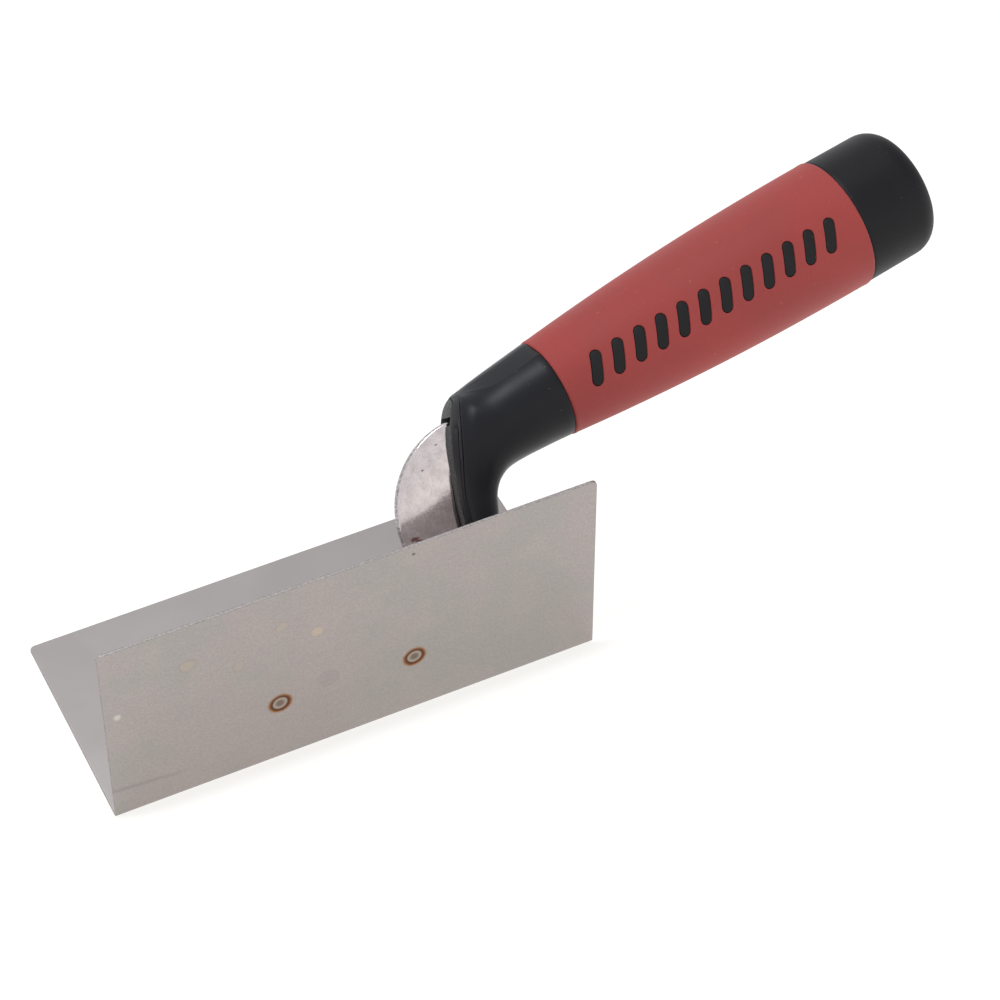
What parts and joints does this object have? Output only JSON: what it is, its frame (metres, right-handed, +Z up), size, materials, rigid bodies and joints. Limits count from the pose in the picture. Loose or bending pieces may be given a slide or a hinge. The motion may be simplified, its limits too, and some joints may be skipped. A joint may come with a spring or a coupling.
{
  "type": "inside corner trowel",
  "caption": "Inside corner trowel: right-angled steel V blade, welded saddle and shank plate, cranked neck and straight soft-grip handle.",
  "frame": {"origin": "middle of the corner edge, on the outside of the bend between the two wings", "axes": "+X along the corner edge towards the handle's butt, +Z up the bisector of the two wings, +Y towards the right wing as the user holds it"},
  "size_m": [0.2466, 0.0828, 0.0983],
  "materials": {
    "blade_steel": "dull rolled stainless sheet with faint stains",
    "saddle_steel": "dull rolled steel",
    "plate_steel": "coarsely ground, with arc-shaped scratches",
    "weld_metal": "bare weld with heat tint",
    "core_plastic": "hard black plastic, fine mould texture",
    "boot_rubber": "satin black elastomer",
    "grip_rubber": "matte brick-red elastomer",
    "cap_rubber": "satin black elastomer"
  },
  "bodies": {
    "root": {"blade": "blade_steel", "saddle": "saddle_steel", "spot_welds": "weld_metal", "shank_plate": "plate_steel", "weld_beads": "weld_metal", "handle_core": "core_plastic", "neck_boot": "boot_rubber", "grip_sleeve": "grip_rubber", "end_cap": "cap_rubber"}
  },
  "joints": []
}
